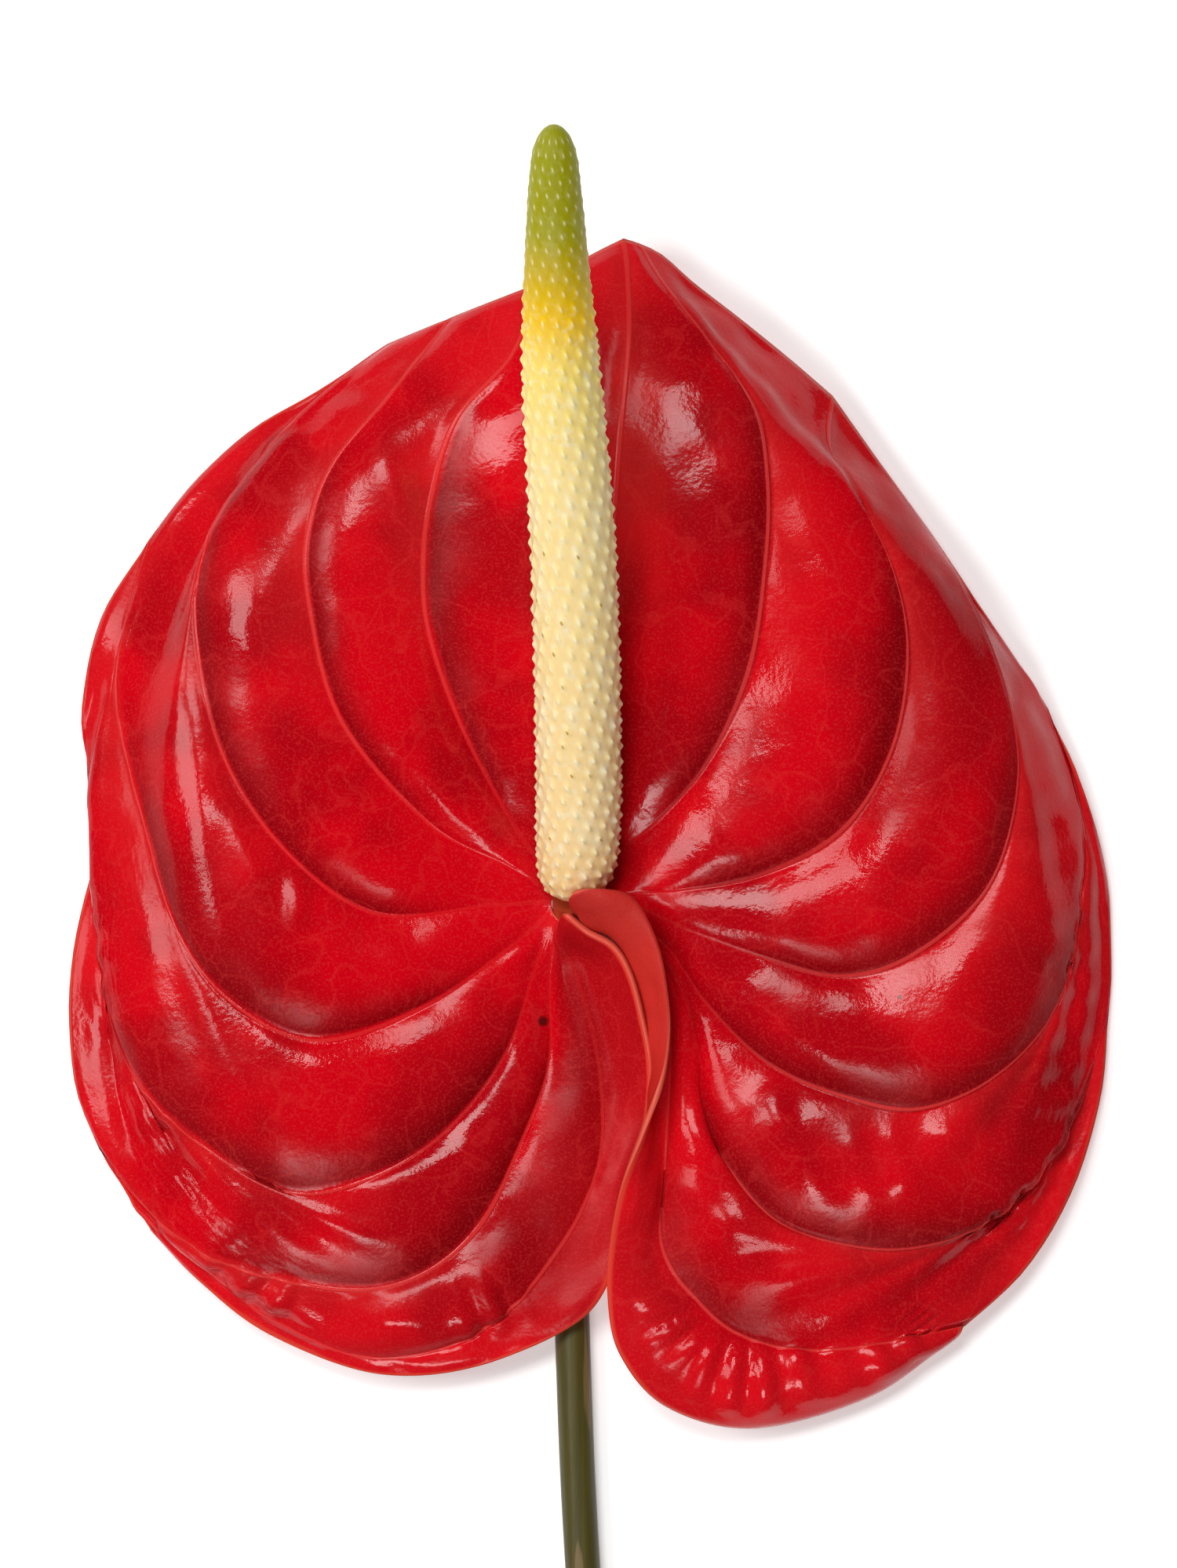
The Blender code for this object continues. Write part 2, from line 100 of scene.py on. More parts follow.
# Veins from the collar to the margin, as (x, y, z). The first number of each is the angle in
# degrees at which the vein leaves the collar.
VEINS = {
    "left_7": (-125, [
        (-3.3, -5.2, 9.9), (-1.8, -7.5, 7.9), (-0.6, -11, 7.1), (0.6, -15, 6.6), (1.6, -20, 6.2),
        (2.2, -26, 6.0), (2.0, -32, 5.9), (0.2, -38, 5.9), (-3.5, -44.5, 5.9), (-10, -52.3, 6.0),
        (-18.3, -57, 5.8), (-29, -57.9, 5.2), (-40.8, -52.6, 4.2), (-49.5, -46.2, 3.4),
        (-57.6, -38.9, 2.5)]),
    "left_6": (-137, [
        (-4.6, -10, 7.5), (-4.6, -20, 6.3), (-7.5, -29, 6.2), (-13.2, -41, 7.0), (-21, -47.6, 8.0),
        (-30, -49.4, 8.5), (-43.5, -46.8, 7.5), (-51.5, -42.8, 5.6), (-57, -37.8, 4.0),
        (-61.8, -31.6, 2.5)]),
    "left_5": (-150, [
        (-6.6, -9, 8.5), (-10.5, -20, 8.0), (-18.3, -29.8, 9.0), (-28, -35.5, 10.5),
        (-38.5, -36.8, 10.5), (-50.9, -29.3, 8.5), (-58.5, -20, 5.5), (-61.7, -6, 2.9),
        (-60.2, 4, 2.6), (-60.6, 12.0, 1.6)]),
    "left_4": (-163, [
        (-9, -5.2, 9.8), (-20.6, -13.3, 10.5), (-34, -17.6, 12), (-44.5, -13, 12),
        (-51.6, -4, 10.5), (-56, 10, 7.5), (-59.7, 25, 4.5), (-58.5, 36, 4.0), (-55.6, 46, 3.6)]),
    "left_3": (178, [
        (-12, -0.3, 10.8), (-27, -1.3, 12), (-38.8, 7.4, 12.5), (-46.5, 20, 12), (-49.5, 35, 11),
        (-48.5, 44, 10.5), (-45, 51.4, 10), (-35, 63, 8.5), (-25, 71, 5.5)]),
    "left_2": (155, [
        (-10, 5, 11), (-19.8, 10.1, 12), (-30.9, 23.2, 13.5), (-34.9, 38, 14.5), (-35, 47, 14.8),
        (-32, 55.5, 14), (-24.5, 64.5, 12), (-17, 74.3, 6.5)]),
    "left_1": (130, [
        (-8.5, 9, 11), (-15.5, 22, 12), (-19.8, 34.3, 13.5), (-20.5, 43.5, 14.5),
        (-19.5, 51.4, 15), (-16.3, 61.3, 14.5), (-9.2, 69.4, 12.5), (-5.5, 78.8, 8)]),
    "midrib": (92, [
        (-1.0, 8, 8.8), (1.2, 25, 11.2), (3.2, 42, 13.6), (4.5, 58.7, 15), (5.6, 71.4, 13.2),
        (5.5, 79, 9.8), (5.0, 84.5, 5.6)]),
    "right_1": (54, [
        (3, 5.5, 9.5), (9.3, 10.4, 11.6), (16, 18.5, 13), (21, 30, 14), (23, 43.6, 15),
        (23.2, 54, 15), (21.5, 63, 13.8), (15.5, 71.5, 11.5), (9.7, 79, 8.6), (6.8, 83.9, 5.9)]),
    "right_2": (24, [
        (5.2, 1.2, 11), (12.3, 1.5, 12.5), (23, 3.8, 13), (33, 9.5, 13), (39.2, 19.9, 13),
        (41, 32, 13.5), (39, 42.5, 13), (34.7, 51.1, 12.5), (31, 58, 9.5), (31.5, 64.5, 4.5)]),
    "right_3": (6, [
        (5.6, 0.0, 11.0), (13.2, -3.3, 12.5), (24, -7.3, 12.5), (33, -9.3, 12.5),
        (42, -6.5, 12.5), (51.4, 2.1, 11.5), (55, 15, 10.5), (53.5, 27, 9.5), (49.2, 38.1, 7.5),
        (44, 47, 4.0)]),
    "right_4": (-6, [
        (5.3, -1.9, 10.6), (11, -5.8, 10.2), (15.8, -13, 10.0), (23.6, -20.6, 10.5),
        (33.5, -24.8, 11.5), (43, -26.2, 11.5), (53.1, -21.5, 10), (60.5, -12, 6.5),
        (63.6, 4, 3.6), (62.5, 15, 2.4), (59.1, 24.5, 2.2)]),
    "right_5": (-18, [
        (4.8, -3.4, 10.3), (9.8, -6.6, 9.5), (13.0, -12, 8.8), (14.4, -19, 8.3),
        (15.0, -26, 8.3), (17.8, -33, 9.3), (24.5, -40.7, 10), (34, -43.8, 10),
        (43, -43.8, 9), (51.7, -40.3, 7.5), (59.5, -32.5, 5), (63.8, -24, 2.4),
        (66.9, -14, 0.9)]),
    "right_6": (-30, [
        (2.8, -4.1, 10.1), (5.4, -5.3, 9.7), (7.8, -6.7, 9.1), (9.6, -9, 8.4), (10.8, -12.5, 7.8),
        (11.2, -17, 7.4), (11.1, -22, 7.1), (10.6, -29, 7.0), (10.0, -36, 7.0), (9.5, -42, 7.0),
        (10.6, -46, 7.2), (13.2, -49.6, 7.5), (18.5, -54.5, 7.6), (26, -57, 7.4),
        (35.2, -56.8, 6.6), (48.5, -54.2, 3.8)]),
}

# Free margin of the left lobe, one place for each place of the vein left_7
LEFT_SEAM_ANGLE = -92
LEFT_SEAM = [
    (-2.3, -1.4, 15.3), (0.4, -3.6, 15.1), (3.7, -5.5, 14.5), (5.8, -8.9, 13.8), (7.3, -14.2, 12.6),
    (8.5, -21, 10.7), (7.9, -28.5, 8.1), (5.8, -36.5, 7.2), (4.4, -45, 6.7), (-0.2, -53, 6.3),
    (-12.5, -58.9, 5.6), (-26, -60.2, 4.6), (-40, -55.3, 3.4), (-48.9, -48.6, 2.7),
    (-55.2, -42.0, 2.1)]

# Rolled seam of the right lobe, one place for each place of the vein right_6: two places that the
# roll leans towards, low and high, and its free margin
ROLL_LOW_ANGLE = -37
ROLL_LOW = [
    (1.0, -4.9, 10.7), (2.4, -5.4, 10.3), (2.6, -7.6, 8.8), (2.6, -11.6, 7.4), (3.4, -14, 6.9),
    (4.4, -17.5, 6.5), (6.2, -22.5, 6.5), (7.4, -29, 6.9), (8.4, -36, 7.8), (7.6, -42.5, 8.4),
    (8.0, -47.5, 8.8), (10.0, -53, 9.4), (16, -58.5, 9.6), (25, -60.5, 9.4), (36, -59.6, 8.2),
    (48, -55, 4.4)]
ROLL_HIGH_ANGLE = -63
ROLL_HIGH = [
    (-1.0, -1.4, 17.0), (2.2, -1.3, 20.2), (5.2, -4.6, 18.4), (7.2, -8.0, 16.4),
    (8.6, -12.6, 14.4), (9.3, -17.2, 13.0), (9.5, -22.4, 12.4), (8.4, -29.3, 11.0),
    (6.6, -36, 10.2), (5.4, -43, 9.9), (5.6, -49.5, 9.8), (7.0, -57, 9.4), (12.5, -63.5, 8.8),
    (23, -65.5, 8.2), (36.5, -62.5, 6.4), (47, -56, 3.4)]
ROLL_EDGE_ANGLE = -70
ROLL_EDGE = [
    (-1.7, 0.9, 19.5), (1.6, 1.8, 20.2), (6.2, 0.6, 18.8), (9.3, -5.2, 16.8), (10.6, -12, 14.8),
    (10.8, -17, 13.8), (9.9, -22.5, 13.2), (7.2, -29.5, 12.2), (4.7, -36, 10.8), (3.3, -43, 9.8),
    (3.0, -50, 9.0), (4.6, -57.5, 7.6), (10.5, -64.2, 6.0), (21.5, -67, 4.4), (36, -63.2, 3.2),
    (46, -56.6, 2.2)]

# Panels between neighbouring veins: inner vein, outer vein, height of the quilting, number and
# height of the cross waves, and the margin's places between the two veins' ends
PANELS = [
    ("left_6", "left_7", 2.4, 7, 0.35, []),
    ("left_5", "left_6", 2.4, 6.5, 0.40, [
        (-61.9, 7.4, 0.9), (-64.0, 0, 0.4), (-65.5, -7, 0.4), (-65.9, -15, 0.7), (-64.9, -24, 1.6)]),
    ("left_4", "left_5", 2.6, 5, 0.25, [
        (-61.3, 37, 2.4), (-64.1, 26.5, 1.0), (-63.8, 20.0, 0.9)]),
    ("left_3", "left_4", 2.8, 5, 0.20, [(-33.5, 65.5, 5.0), (-41.8, 60.6, 4.7), (-49.2, 54.0, 4.3)]),
    ("left_2", "left_3", 2.6, 4, 0.15, []),
    ("left_1", "left_2", 2.6, 4, 0.10, []),
    ("midrib", "left_1", 1.8, 3, 0.10, [(0.2, 82.0, 6.4)]),
    ("midrib", "right_1", 2.4, 4, 0.12, []),
    ("right_1", "right_2", 3.0, 4, 0.12, [
        (9.8, 82.4, 5.2), (13.8, 78.9, 4.9), (20, 74.1, 4.6), (25.8, 69.4, 4.2)]),
    ("right_2", "right_3", 2.8, 4, 0.15, [(38.0, 55.3, 4.0)]),
    ("right_3", "right_4", 2.8, 5, 0.20, [(52.0, 35.2, 3.0)]),
    ("right_4", "right_5", 2.8, 6, 0.35, [(63.4, 15.5, 1.6), (66.6, 3, 0.6), (67.3, -8, 0.4)]),
    ("right_5", "right_6", 2.4, 7, 0.40, [(66, -25, 1.2), (62.5, -36.5, 2.0), (56.5, -46.8, 2.8)]),
]

# Stem, from its cut end to the neck's top
STEM_PATH = [
    (2.6, -320), (5.0, -280), (6.0, -230), (5.2, -180), (2.9, -130), (-0.3, -84), (-1.4, -60),
    (-1.8, -42), (-1.6, -24)]
NECK_PATH = [
    (-1.3, -13.5, 2.3), (-1.2, -8.0, 2.7), (-1.4, -4.2, 4.3), (-1.5, -2.0, 7.2),
    (-1.5, -0.5, 10.0), (-1.5, 0.6, 11.5)]
NECK_SWELL = 0.16
NECK_STRETCH = (0.96, 1.0)
STEM_CROWDING = 0.8

# Spadix: its base, its lean to +X along its length, and its profile as (share of length, share
# of the radius between the florets), whose round end starts at TIP_START
SPADIX_BASE = (-1.4, 0.3, 13.1)
SPADIX_BOW = [
    (0.0, 0.0), (0.06, 0.5), (0.15, 0.7), (0.3, 0.5), (0.45, 0.05), (0.57, -0.7), (0.69, -1.55),
    (0.8, -2.0), (0.9, -2.25), (1.0, -2.4)]
SPADIX_PROFILE = [
    (0.0, 0.0), (0.006, 0.42), (0.018, 0.72), (0.035, 0.88), (0.06, 0.96), (0.12, 1.0),
    (0.3, 1.0), (0.5, 0.985), (0.65, 0.925), (0.75, 0.84), (0.81, 0.775), (0.86, 0.71),
    (0.9, 0.655), (0.94, 0.585), (1.0, 0.505)]
TIP_START = 0.93

# Florets: the share of a floret's height in its narrow point, how wide the point is, where the
# florets are still unripe and lower, and the draws of their two looks
FLORET_POINT = 0.85
POINT_SPREAD = 0.36
UNRIPE_STARTS = (0.72, 0.84)
UNRIPE_HEIGHT = 0.3
STIGMA_DRAW = 3.5
PALE_DRAW = 9.5

# Mesh steps here, finer than the part's own
BLADE_ROWS = 160
PANEL_COLUMNS = 19
ROLL_COLUMNS = 26
SEAM_COLUMNS = 14
FLORET_STEPS = 6
FLORET_RINGS = 10
STEM_SIDES = 32
STEM_POINTS = 300
SPLINE_STEPS = 40
RIM_SAMPLES = 3000
FOLD_SAMPLES = 40
SHORTEST_NORMAL = 1e-9

# The stem's caps are merged with its side across this gap, and stay sharp past this angle
CAP_GAP = 0.01
CUT_CREASE = math.radians(50.0)

# Crumples of the blade and smaller wrinkles on them: spacing and height. They weaken to a share
# away from the margin, and they fade out on the margin itself and on the veins.
CRUMPLE_SIZE = 12.0
CRUMPLE_HEIGHT = 1.1
WRINKLE_SIZE = 4.5
WRINKLE_HEIGHT = 0.38
WRINKLE_DRAW = (0.0, 0.0, 40.0)
CRUMPLED_MARGIN = 22.0
INNER_CRUMPLES = 0.35
CALM_MARGIN = (0.0, 2.5)
CALM_VEIN = (0.0, 2.0)

# Single folds of a panel, each as its height, its half width and the line it follows
FOLDS = {
    ("right_4", "right_5"): [
        (0.7, 1.6, [(24.5, -22.9), (24.5, -27.3), (26.7, -31.8), (28.1, -33.6), (30.7, -37.6)]),
        (0.6, 1.5, [(33.5, -29.5), (34.8, -33.8), (36.6, -38.2)]),
        (0.8, 1.6, [(38.8, -28.2), (39.7, -32.7), (42.4, -38.0), (45.0, -40.3), (48.6, -41.2)]),
        (0.7, 1.5, [(44.1, -29.1), (48.6, -30.9), (53.1, -32.7), (57.1, -33.3)]),
        (0.6, 1.4, [(53.1, -24.6), (57.1, -26.9), (60.7, -27.8)])],
    ("left_1", "left_2"): [
        (0.5, 1.8, [(-21.8, 18.4), (-19.1, 14.9), (-15.5, 10.5), (-11.1, 7.4), (-7.6, 5.0)]),
        (0.5, 2.0, [(-26.0, 60.0), (-25.0, 54.0), (-21.5, 48.0), (-20.0, 40.0)])],
    ("left_3", "left_4"): [
        (0.5, 1.6, [(-45.0, 10.0), (-41.0, 1.5), (-40.0, -3.0)]),
        (0.6, 1.5, [(-36.3, 3.0), (-36.6, -1.0), (-37.0, -5.0)])],
    ("left_5", "left_6"): [
        (0.5, 1.5, [(-52.0, -14.0), (-57.0, -14.5), (-61.0, -13.0)]),
        (0.5, 1.5, [(-44.0, -21.0), (-50.0, -22.5), (-55.0, -24.0)])]}

# A fold's height along its line follows this part of a half wave, to this power
FOLD_WAVE = (0.04, 0.96)
FOLD_WAVE_POWER = 0.6

# Puckers that stand square to the margin: their spacing and how far it drifts, the part of a wave
# that rises, the patches of the noise that they stand in, and their height
RUFFLE_SPACING = 5.2
RUFFLE_DRIFT = 4.0
RUFFLE_DRIFT_SIZE = 28.0
RUFFLE_CREST = (-0.9, 1.0)
RUFFLE_PATCH = (-0.5, 1 / 6)
RUFFLE_PATCH_SIZE = 13.0
RUFFLE_PATCH_DRAW = (0.0, 0.0, 20.0)
RUFFLE_HEIGHT = 1.0

# Where the puckers start and end, going in from the margin and along it from its two ends
RUFFLES_START = (1.8, 4.8)
RUFFLES_END = (7.0, 13.0)
RUFFLED_ENDS = (0.0, 12.0)

# Share of a side seam from which the margin is ruffled, the strength left at the blade's tip, and
# where the lobes' full strength comes in, as a share of the margin from the tip
RUFFLED_SEAM = 0.5
RUFFLES_AT_TIP = 0.1
RUFFLED_LOBES = (0.2, 0.39)

# Nothing is ruffled beside a place where the length along the margin jumps by more than this, and
# the calm spreads by one place a pass
LARGEST_STEP = 5.0
CALM_PASSES = 6

# Strength of the wax's mirror reflection, what the bloom does to the colour (a paler painted
# sheen), the roughness and the reflection, and what the flanks, darkened with painted shade, do
# to the last two
WAX_GLOSS = 0.23
SHEEN_PAINT_SHARE = 0.35
BLOOM_ROUGHENS = 0.1
BLOOM_DULLS = 0.5
FLANK_ROUGHENS = 0.3
FLANK_DULLS = 0.5

# Patterns of the wax, as repeats in a metre, and how far the net of small veins sways, in metres
RED_CLOUDS = 55
RED_GRAIN = 3300
WORN_CLOUDS = 130
GLOSS_CLOUDS = 38
VEIN_NET = 90
VEIN_NET_SWAY = 0.02

# Stretches of the face's colours, from the margin inwards and from a main vein outwards
BAND_STRETCH = (16.0, 3.0)
EDGE_STRETCH = (0.9, 0.3)
VEIN_STRETCH = (0.45, 0.15)

# Small brown marks on the blade: place and size, and the share of it that is evenly dark
MARKS = [((-5.3, -15.2), 0.9), ((40.0, -12.0), 0.35)]
MARK_MIDDLE = 0.4

# How deep light goes into the spadix, and each colour's share of that
FLESH_DEPTH = 2.0
FLESH_COLOUR_DEPTHS = (1.0, 0.8, 0.5)

# Patterns on the stem are drawn out along it
STREAK_STRETCH = (1.0, 0.03, 1.0)
SCAR_STRETCH = (1.0, 0.09, 1.0)
PORE_STRETCH = (1.0, 0.2, 1.0)

# Height at which the neck turns red, in metres, and how far the pale cut end reaches up the stem
NECK_FLUSH = (0.006, 0.0105)
CUT_EDGE = 0.5
CUT_EDGE_MIDDLE = 0.3

# Screen colours, from 0 to 255
SPATHE_RED = (208, 0, 20)
SPATHE_DEEP = (172, 0, 16)
# Painted shade: the dark red laid down the steep flank of each furrow and in the funnel by the left
# seam
FURROW_PAINTED_SHADE = (122, 0, 8)
# Painted sheen: the paler, greyer red on the dull slope just outside each vein
PAINTED_SHEEN = (212, 50, 48)
MARK_BROWN = (60, 12, 10)
SPATHE_BAND = (222, 22, 32)
SPATHE_GRAIN = (226, 66, 62)
SPATHE_VEIN = (226, 56, 54)
# Painted glow: the lighter red of the thin margin stands in for light shining through and off the
# edge
EDGE_PAINTED_GLOW = (220, 64, 48)
# Painted glow of the blade's rim
RIM_PAINTED_GLOW = (228, 110, 88)
BACK_RED = (214, 48, 40)
BACK_DEEP = (188, 34, 28)
BACK_VEIN = (214, 96, 76)
FLORET_PALE = (246, 236, 204)
# Painted shade in the seams between florets
FLORET_SEAM_SHADE = (206, 176, 110)
STIGMA = (188, 142, 40)
STEM_OLIVE = (92, 84, 32)
STEM_DARK = (52, 45, 20)
STEM_SCAR = (128, 106, 66)
CUT_PALE = (170, 160, 104)
NECK_RED = (176, 66, 36)
SPADIX_COLOURS = [
    (0.0, (207, 120, 66)), (0.012, (240, 200, 136)), (0.1, (250, 218, 160)),
    (0.56, (250, 226, 158)), (0.7, (248, 222, 120)), (0.765, (240, 196, 10)),
    (0.82, (200, 172, 0)), (0.87, (162, 157, 0)), (1.0, (152, 154, 0))]

# The camera, in millimetres, with the frame centred on this place of the flower
CAMERA_HEIGHT = 1500.0
FRAMED_LEVEL = 8.0
FRAMED_LENGTH = 199.9
FRAME_CENTRE = (0.5, 15.05)
SENSOR = 36.0

# The studio, in metres and watts: a glowing floor just under the flower, the room's own light,
# and softboxes turned to one place, each as its name, place, width, height and power
FLOOR_SIZE = 4.0
FLOOR_LEVEL = -0.0002
FLOOR_GREY = (0.93, 0.93, 0.93, 1.0)
FLOOR_GLOW = 0.3
ROOM_LIGHT = 0.06
WHITE = (1.0, 1.0, 1.0, 1.0)
LIT_PLACE = (0.0, 0.12, 0.01)
SOFTBOXES = [
    ("upper_softbox", (-0.22, 0.7, 1.4), 0.6, 0.45, 11.0),
    ("lower_softbox", (-0.15, -0.85, 1.3), 0.6, 0.28, 7.5),
    ("left_softbox", (-0.95, 0.3, 1.2), 0.5, 0.6, 9.0)]


def ease(value, stretch):
    """0 before the stretch, 1 after it, and a smooth rise from its start to its end."""
    start, end = stretch
    x = np.clip((value - start) / (end - start), 0.0, 1.0)
    return x * x * (3 - 2 * x)


def spline(points, at):
    """Places on a smooth curve through the points, where point i is at parameter i."""
    points = np.asarray(points, float)
    padded = np.vstack([2 * points[0] - points[1], points, 2 * points[-1] - points[-2]])
    at = np.asarray(at, float)
    cell = np.clip(at.astype(int), 0, len(points) - 2)
    f = (at - cell)[:, None]
    a, b, c, d = (padded[cell + k] for k in range(4))
    return 0.5 * (2 * b + (c - a) * f + (2 * a - 5 * b + 4 * c - d) * f**2
                  + (3 * b - a - 3 * c + d) * f**3)


def even_parameters(points, shares):
    """Parameters of the spline at the given shares of its length."""
    fine = np.linspace(0, len(points) - 1, SPLINE_STEPS * len(points))
    steps = np.linalg.norm(np.diff(spline(points, fine), axis=0), axis=1)
    along = np.concatenate([[0], np.cumsum(steps)])
    return np.interp(shares, along / along[-1], fine)


def collar_point(angle):
    turn = math.radians(angle)
    x = COLLAR_CENTRE[0] + COLLAR_RADIUS * math.cos(turn)
    y = COLLAR_CENTRE[1] + COLLAR_RADIUS * math.sin(turn)
    return (x, y, COLLAR_HEIGHT + COLLAR_SLOPE * (y - COLLAR_CENTRE[1]))


def from_collar(angle, places):
    return [collar_point(angle)] + list(places)


def vein_points(name, shares):
    points = from_collar(*VEINS[name])
    return spline(points, even_parameters(points, shares))


def quilting(v, t):
    """Height of a panel over its veins: it rises from the inner one and drops to the outer."""
    across = (1 - (1 - v) ** QUILT_RISE_POWER) * (1 - v**QUILT_DROP_POWER)
    along = ease(t, QUILT_STARTS) * (1 - QUILT_SUNK_SHARE * ease(t, QUILT_SINKS))
    return across * along


def panel(inner, outer, height, waves, wave_height, margin, shares):
    """Rows of places from the inner vein to the outer one, both included."""
    first = vein_points(inner, shares)
    last = vein_points(outer, shares)
    rim_places = [first[-1], *margin, last[-1]]
    v = np.linspace(0, 1, PANEL_COLUMNS + 1)
    rim = spline(rim_places, even_parameters(rim_places, v))
    straight_rim = first[-1] + (last[-1] - first[-1]) * v[:, None]
    grid = first[:, None] + (last - first)[:, None] * v[None, :, None]
    grid = grid + (rim - straight_rim)[None] * shares[:, None, None] ** RIM_POWER
    width = np.linalg.norm(last - first, axis=1)
    height = height * np.minimum(1, width / FULL_QUILT_WIDTH)
    wave = np.sin(2 * math.pi * waves * shares)[:, None] * (np.sin(math.pi * v) ** 2)[None]
    wave = wave * (ease(shares, WAVES_START) * (1 - ease(shares, WAVES_END)))[:, None]
    grid[:, :, 2] += height[:, None] * quilting(v[None], shares[:, None]) + wave_height * wave
    return grid


def left_seam(shares):
    """From the outermost left vein up to the left lobe's free margin."""
    vein = from_collar(*VEINS["left_7"])
    at = even_parameters(vein, shares)
    low = spline(vein, at)
    high = spline(from_collar(LEFT_SEAM_ANGLE, LEFT_SEAM), at)
    v = np.linspace(0, 1, SEAM_COLUMNS + 1)[None, :, None]
    grid = low[:, None] + (high - low)[:, None] * v
    rise = (high - low)[:, 2][:, None] * (v[:, :, 0] ** SEAM_POWER - v[:, :, 0])
    grid[:, :, 2] += rise * ease(shares, SEAM_STARTS)[:, None]
    return grid


def right_roll(shares):
    """From the outermost right vein round the roll to the right lobe's free margin."""
    vein = from_collar(*VEINS["right_6"])
    at = even_parameters(vein, shares)
    a = spline(vein, at)[:, None]
    b = spline(from_collar(ROLL_LOW_ANGLE, ROLL_LOW), at)[:, None]
    c = spline(from_collar(ROLL_HIGH_ANGLE, ROLL_HIGH), at)[:, None]
    d = spline(from_collar(ROLL_EDGE_ANGLE, ROLL_EDGE), at)[:, None]
    v = np.linspace(0, 1, ROLL_COLUMNS + 1)[None, :, None]
    return a * (1 - v) ** 3 + 3 * b * v * (1 - v) ** 2 + 3 * c * v**2 * (1 - v) + d * v**3


def folds(places, lines):
    """How far the single folds raise a panel. Each falls off to its sides and at its ends."""
    flat = places[:, :, :2].reshape(-1, 2)
    height = np.zeros(len(flat))
    ends = np.sin(math.pi * np.linspace(*FOLD_WAVE, FOLD_SAMPLES)) ** FOLD_WAVE_POWER
    for rise, half_width, line in lines:
        fine = spline(line, even_parameters(line, np.linspace(0, 1, FOLD_SAMPLES)))
        apart = np.linalg.norm(flat[:, None] - fine[None], axis=2)
        height += rise * ends[apart.argmin(axis=1)] * np.exp(-(apart.min(axis=1) / half_width) ** 2)
    return height.reshape(places.shape[:2])


def funnel_shade(shares):
    """How strongly a row is darkened with painted shade in the funnel on the left lobe's side of the
    seam.
    """
    return (1 - ease(shares, FUNNEL_ENDS))[:, None]


def seam_strip(shares):
    places = left_seam(shares)
    vein = np.linalg.norm(places - places[:, :1], axis=2)
    none = np.zeros(vein.shape)
    # The seam strip's flank shade is the funnel's painted shade
    return places, vein, none + funnel_shade(shares), none


def panel_strip(inner, outer, height, waves, wave_height, margin, shares):
    places = panel(inner, outer, height, waves, wave_height, margin, shares)
    places[:, :, 2] += folds(places, FOLDS.get((inner, outer), []))
    v = np.linspace(0, 1, PANEL_COLUMNS + 1)[None]
    width = np.linalg.norm(places[:, -1] - places[:, 0], axis=1)[:, None]
    vein = np.minimum(v, 1 - v) * width
    # Painted shade: the steep drop to the outer vein gets a darker red
    flank_shade = v**SHADE_POWER * np.minimum(1, width / FULL_QUILT_WIDTH)
    flank_shade = flank_shade * (ease(shares, QUILT_STARTS) * (1 - ease(shares, FLANK_ENDS)))[:, None]
    # The panel beside the left seam also takes the funnel's painted shade
    if outer == "left_7":
        flank_shade = np.maximum(flank_shade, funnel_shade(shares) * v**FUNNEL_POWER)
    # The slope just outside a vein is duller, and a paler painted sheen is laid on it
    bloom_and_sheen = (1 - v) ** SHADE_POWER * ease(shares, BLOOM_AND_SHEEN_STARTS)[:, None]
    return places, vein, flank_shade, bloom_and_sheen


def roll_strip(shares):
    places = right_roll(shares)
    vein = np.linalg.norm(places - places[:, :1], axis=2)
    none = np.zeros(vein.shape)
    return places, vein, none, none


def spathe_strips(shares):
    """The blade's middle surface, from the left lobe's free margin round to the right lobe's. With
    it come each place's distance from the nearest main vein, how far down the flank of a furrow it
    is, which sets the painted shade there, and how dull it is, as the slope just outside a vein,
    which also sets the painted sheen there."""
    strips = [tuple(values[:, ::-1] for values in seam_strip(shares))]
    for inner, outer, *shape in PANELS:
        strip = panel_strip(inner, outer, *shape, shares)
        if outer.startswith("left"):
            strip = tuple(values[:, ::-1] for values in strip)
        strips.append(tuple(values[:, 1:] for values in strip))
    strips.append(tuple(values[:, 1:] for values in roll_strip(shares)))
    return [np.concatenate(values, axis=1) for values in zip(*strips)]


def margin_distance(grid):
    """How far each place is from the blade's free edge, measured over the surface."""
    down = np.linalg.norm(np.diff(grid, axis=0), axis=2)
    to_rim = np.zeros(grid.shape[:2])
    to_rim[:-1] = np.cumsum(down[::-1], axis=0)[::-1]
    across = np.cumsum(np.linalg.norm(np.diff(grid, axis=1), axis=2), axis=1)
    from_left = np.concatenate([np.zeros((len(grid), 1)), across], axis=1)
    from_right = across[:, -1:] - from_left
    return np.minimum(to_rim, np.minimum(from_left, from_right))


def unbroken(along):
    """1 where the length along the margin runs on from place to place, and 0 beside its jumps."""
    steps = [np.abs(np.gradient(along, axis=axis)) for axis in (0, 1)]
    calm = (np.maximum(*steps) < LARGEST_STEP).astype(float)
    for _ in range(CALM_PASSES):
        wide = np.pad(calm, 1, mode="edge")
        beside = (wide[:-2, 1:-1] + wide[2:, 1:-1] + wide[1:-1, :-2] + wide[1:-1, 2:]) / 4
        calm = np.minimum(calm, beside)
    return calm


def rim_line(grid, shares):
    """The margin with the lower stretch of both free edges, as close places in order, and the
    length along it to each."""
    free = shares[:-1] > RUFFLED_SEAM
    rim = np.concatenate([grid[:-1, 0][free], grid[-1], grid[:-1, -1][free][::-1]])
    rim = spline(rim, even_parameters(rim, np.linspace(0, 1, RIM_SAMPLES)))
    steps = np.linalg.norm(np.diff(rim, axis=0), axis=1)
    return rim, np.concatenate([[0], np.cumsum(steps)])


